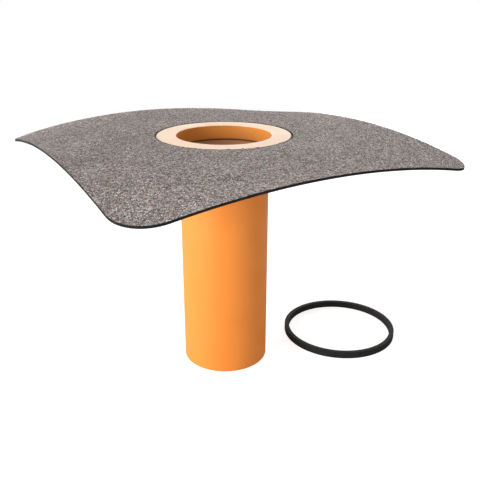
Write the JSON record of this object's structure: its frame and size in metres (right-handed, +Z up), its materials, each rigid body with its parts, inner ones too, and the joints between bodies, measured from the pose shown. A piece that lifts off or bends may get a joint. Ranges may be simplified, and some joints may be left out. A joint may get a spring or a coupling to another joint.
{
  "type": "roof drain",
  "caption": "Round moulded drain inlet with a straight outlet pipe, a square flexible sealing sleeve bonded to its flange, and a loose seal ring.",
  "frame": {"origin": "centre of the outlet pipe's lower end, on the ground that the part stands on", "axes": "+Z up along the pipe's axis, out of the inlet mouth; X and Y along the sides of the square sleeve"},
  "size_m": [0.5422, 0.4974, 0.355],
  "materials": {
    "body_plastic": "orange moulded plastic, semi-matt",
    "slated_bitumen": "grey mineral granules on black bitumen, black cut edge and underside",
    "seal_rubber": "black moulded rubber"
  },
  "bodies": {
    "root": {"drain_body": "body_plastic", "bitumen_sleeve": "slated_bitumen", "seal_ring": "seal_rubber"}
  },
  "joints": []
}
